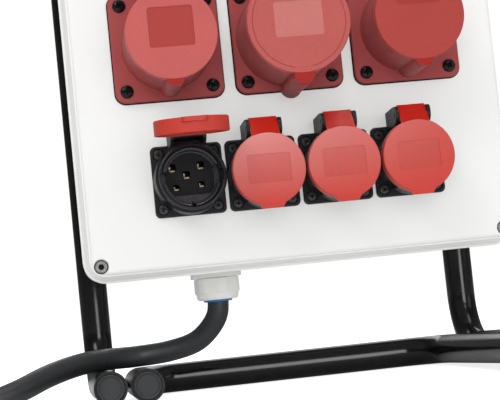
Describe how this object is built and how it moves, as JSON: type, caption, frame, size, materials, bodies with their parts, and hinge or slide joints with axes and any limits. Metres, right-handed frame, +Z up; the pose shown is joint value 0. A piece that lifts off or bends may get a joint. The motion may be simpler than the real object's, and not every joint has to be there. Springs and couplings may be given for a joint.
{
  "type": "portable power distribution box",
  "caption": "Free-standing power distribution box with lidded industrial and domestic sockets, a breaker window and a supply lead on a bent tube stand.",
  "frame": {"origin": "centre of the rear face of the lower cross plate's web, on the box's left-right centre line", "axes": "+Z up, +X to the right when facing the sockets, sockets face -Y"},
  "size_m": [0.4927, 0.3134, 0.5482],
  "materials": {
    "black_lacquer": "gloss black stoved lacquer",
    "black_rubber": "matt moulded rubber",
    "grey_enclosure": "light grey moulded shell, fine grain",
    "zinc_steel": "bright zinc",
    "dark_red_housing": "signal red moulded housing, satin",
    "red_lid": "signal red moulded lid, fine grain",
    "black_plastic": "black moulded plastic, satin",
    "pale_plastic": "pale grey polyamide",
    "blue_plastic": "blue",
    "cable_rubber": "matt black cable sheath",
    "smoked_window": "smoked clear plastic",
    "device_grey": "light grey device housing"
  },
  "bodies": {
    "housing": {"base_u_tube": "black_lacquer", "breaker_1_body": "device_grey", "breaker_2_body": "device_grey", "breaker_3_body": "device_grey", "cover_screw_1": "zinc_steel", "cover_screw_2": "zinc_steel", "cover_screw_3": "zinc_steel", "cover_screw_4": "zinc_steel", "din_rail": "zinc_steel", "enclosure_base": "grey_enclosure", "enclosure_cover": "grey_enclosure", "first_small_socket_body": "black_plastic", "first_small_socket_contact_carrier": "black_plastic", "fourth_small_socket_body": "black_plastic", "fourth_small_socket_contact_carrier": "black_plastic", "gland_body": "pale_plastic", "gland_dome_nut": "pale_plastic", "gland_seal": "blue_plastic", "left_base_end_plug": "black_rubber", "left_large_socket_body": "dark_red_housing", "left_large_socket_contact_carrier": "black_plastic", "left_large_socket_gasket": "black_rubber", "left_large_socket_hinge_pin": "zinc_steel", "left_loop_end_plug": "black_rubber", "left_weld_tab": "black_lacquer", "lower_cross_plate": "black_lacquer", "middle_large_socket_body": "dark_red_housing", "middle_large_socket_contact_carrier": "black_plastic", "middle_large_socket_gasket": "black_rubber", "middle_large_socket_hinge_pin": "zinc_steel", "residual_current_breaker_body": "device_grey", "right_base_end_plug": "black_rubber", "right_large_socket_body": "dark_red_housing", "right_large_socket_contact_carrier": "black_plastic", "right_large_socket_gasket": "black_rubber", "right_large_socket_hinge_pin": "zinc_steel", "right_loop_end_plug": "black_rubber", "right_weld_tab": "black_lacquer", "second_small_socket_body": "black_plastic", "second_small_socket_contact_carrier": "black_plastic", "supply_cable": "cable_rubber", "supply_plug": "red_lid", "third_small_socket_body": "black_plastic", "third_small_socket_contact_carrier": "black_plastic", "upper_cross_plate": "black_lacquer", "upright_loop": "black_lacquer", "window_frame": "pale_plastic"},
    "left_large_lid": {"left_large_socket_lid": "red_lid"},
    "middle_large_lid": {"middle_large_socket_lid": "red_lid"},
    "right_large_lid": {"right_large_socket_lid": "red_lid"},
    "first_small_lid": {"first_small_socket_lid": "red_lid"},
    "second_small_lid": {"second_small_socket_lid": "red_lid"},
    "third_small_lid": {"third_small_socket_lid": "red_lid"},
    "fourth_small_lid": {"fourth_small_socket_lid": "red_lid"},
    "window": {"window_flap": "smoked_window"},
    "residual_current_breaker_lever": {"residual_current_breaker_toggle": "black_plastic"},
    "breaker_1_lever": {"breaker_1_toggle": "black_plastic"},
    "breaker_2_lever": {"breaker_2_toggle": "black_plastic"},
    "breaker_3_lever": {"breaker_3_toggle": "black_plastic"},
    "test_button": {"residual_current_test_button": "blue_plastic"}
  },
  "joints": [
    {"name": "left_large_lid_hinge", "type": "hinge", "parent": "housing", "child": "left_large_lid", "pos_m": [-0.0847, -0.1836, 0.1508], "axis": [-1, 0, 0], "range_deg": [0, 110]},
    {"name": "middle_large_lid_hinge", "type": "hinge", "parent": "housing", "child": "middle_large_lid", "pos_m": [0, -0.1919, 0.1548], "axis": [-1, 0, 0], "range_deg": [0, 110]},
    {"name": "right_large_lid_hinge", "type": "hinge", "parent": "housing", "child": "right_large_lid", "pos_m": [0.0847, -0.1836, 0.1508], "axis": [-1, 0, 0], "range_deg": [0, 110]},
    {"name": "first_small_lid_hinge", "type": "hinge", "parent": "housing", "child": "first_small_lid", "pos_m": [-0.07815, -0.1641, 0.0495], "axis": [-1, 0, 0], "range_deg": [-86.5, 13.5]},
    {"name": "second_small_lid_hinge", "type": "hinge", "parent": "housing", "child": "second_small_lid", "pos_m": [-0.02605, -0.1641, 0.0495], "axis": [-1, 0, 0], "range_deg": [0, 100]},
    {"name": "third_small_lid_hinge", "type": "hinge", "parent": "housing", "child": "third_small_lid", "pos_m": [0.02605, -0.1641, 0.0495], "axis": [-1, 0, 0], "range_deg": [0, 100]},
    {"name": "fourth_small_lid_hinge", "type": "hinge", "parent": "housing", "child": "fourth_small_lid", "pos_m": [0.07815, -0.1641, 0.0495], "axis": [-1, 0, 0], "range_deg": [0, 100]},
    {"name": "window_hinge", "type": "hinge", "parent": "housing", "child": "window", "pos_m": [0, -0.1478, 0.2955], "axis": [-1, 0, 0], "range_deg": [0, 105]},
    {"name": "residual_current_breaker_lever_pivot", "type": "hinge", "parent": "housing", "child": "residual_current_breaker_lever", "pos_m": [-0.072, -0.1333, 0.244], "axis": [1, 0, 0], "range_deg": [0, 76]},
    {"name": "breaker_1_lever_pivot", "type": "hinge", "parent": "housing", "child": "breaker_1_lever", "pos_m": [-0.009, -0.1333, 0.244], "axis": [1, 0, 0], "range_deg": [0, 76]},
    {"name": "breaker_2_lever_pivot", "type": "hinge", "parent": "housing", "child": "breaker_2_lever", "pos_m": [0.045, -0.1333, 0.244], "axis": [1, 0, 0], "range_deg": [0, 76]},
    {"name": "breaker_3_lever_pivot", "type": "hinge", "parent": "housing", "child": "breaker_3_lever", "pos_m": [0.09, -0.1333, 0.244], "axis": [1, 0, 0], "range_deg": [0, 76]},
    {"name": "test_button_travel", "type": "slide", "parent": "housing", "child": "test_button", "axis": [0, 1, 0], "range_m": [0, 0.002]}
  ]
}
